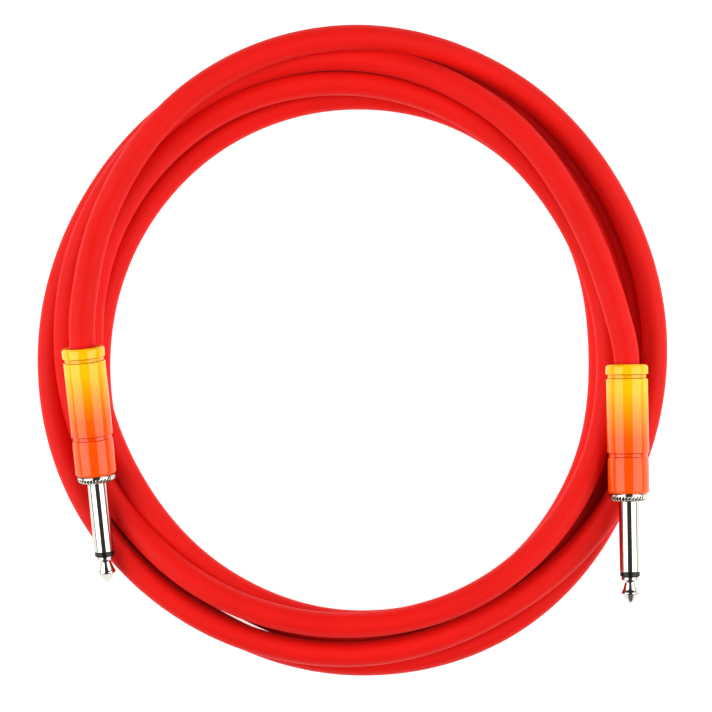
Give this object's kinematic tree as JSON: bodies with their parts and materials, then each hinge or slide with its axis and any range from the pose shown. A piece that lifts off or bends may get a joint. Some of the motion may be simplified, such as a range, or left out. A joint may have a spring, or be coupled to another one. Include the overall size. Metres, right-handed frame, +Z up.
{
  "type": "instrument cable",
  "caption": "Coiled instrument cable with a straight mono plug at each end: knurled collar, polished pin, and a metal shell that unscrews over the soldered cable end.",
  "frame": {"origin": "the surface that the cable lies on, at the middle of the coil", "axes": "+Z up out of the surface, +Y away from the plugs' tips and along the coil's longer width, +X towards the right plug"},
  "size_m": [0.199, 0.206, 0.0337],
  "materials": {
    "cable_jacket": "satin red flexible PVC",
    "shell_paint": "gloss, fading from yellow at the cable end to orange at the front",
    "nickel": "polished nickel plate",
    "brass": "bright stamped",
    "copper": "bare copper strand",
    "solder": "soft tin",
    "black_plastic": "moulded",
    "brown_board": "phenolic board",
    "white_plastic": "extruded",
    "clear_plastic": "clear tube"
  },
  "bodies": {
    "cable": {"cable_coil": "cable_jacket", "right_lead": "cable_jacket", "left_lead": "cable_jacket", "right_plug_sleeve": "nickel", "right_tip_contact": "nickel", "right_tip_insulator": "black_plastic", "right_ground_lug": "brass", "right_insulating_washer": "brown_board", "right_tip_lug": "brass", "right_core_insulation": "white_plastic", "right_conductive_layer": "black_plastic", "right_core_conductor": "copper", "right_shield_pigtail": "copper", "right_tip_solder": "solder", "right_ground_solder": "solder", "left_plug_sleeve": "nickel", "left_tip_contact": "nickel", "left_tip_insulator": "black_plastic", "left_ground_lug": "brass", "left_insulating_washer": "brown_board", "left_tip_lug": "brass", "left_core_insulation": "white_plastic", "left_conductive_layer": "black_plastic", "left_core_conductor": "copper", "left_shield_pigtail": "copper", "left_tip_solder": "solder", "left_ground_solder": "solder"},
    "right_inner_sleeve": {"right_insulating_sleeve": "clear_plastic"},
    "right_outer_shell": {"right_shell": "shell_paint"},
    "left_inner_sleeve": {"left_insulating_sleeve": "clear_plastic"},
    "left_outer_shell": {"left_shell": "shell_paint"}
  },
  "joints": [
    {"name": "right_sleeve_slide", "type": "slide", "parent": "cable", "child": "right_inner_sleeve", "axis": [-0.0157, 0.9999, 0], "range_m": [0, 0.005]},
    {"name": "right_shell_turn", "type": "hinge", "parent": "right_inner_sleeve", "child": "right_outer_shell", "pos_m": [0.08608, -0.04693, 0.02195], "axis": [-0.0157, 0.9999, 0], "range_deg": [0, 1800]},
    {"name": "left_sleeve_slide", "type": "slide", "parent": "cable", "child": "left_inner_sleeve", "axis": [-0.0915, 0.986, 0.1392], "range_m": [0, 0.005]},
    {"name": "left_shell_turn", "type": "hinge", "parent": "left_inner_sleeve", "child": "left_outer_shell", "pos_m": [-0.0793, -0.041, 0.02136], "axis": [-0.0915, 0.986, 0.1392], "range_deg": [0, 1800]}
  ],
  "couplings": [
    {"joint": "right_sleeve_slide", "follows": "right_shell_turn", "m_per_rad": 0.00015915},
    {"joint": "left_sleeve_slide", "follows": "left_shell_turn", "m_per_rad": 0.00015915}
  ]
}
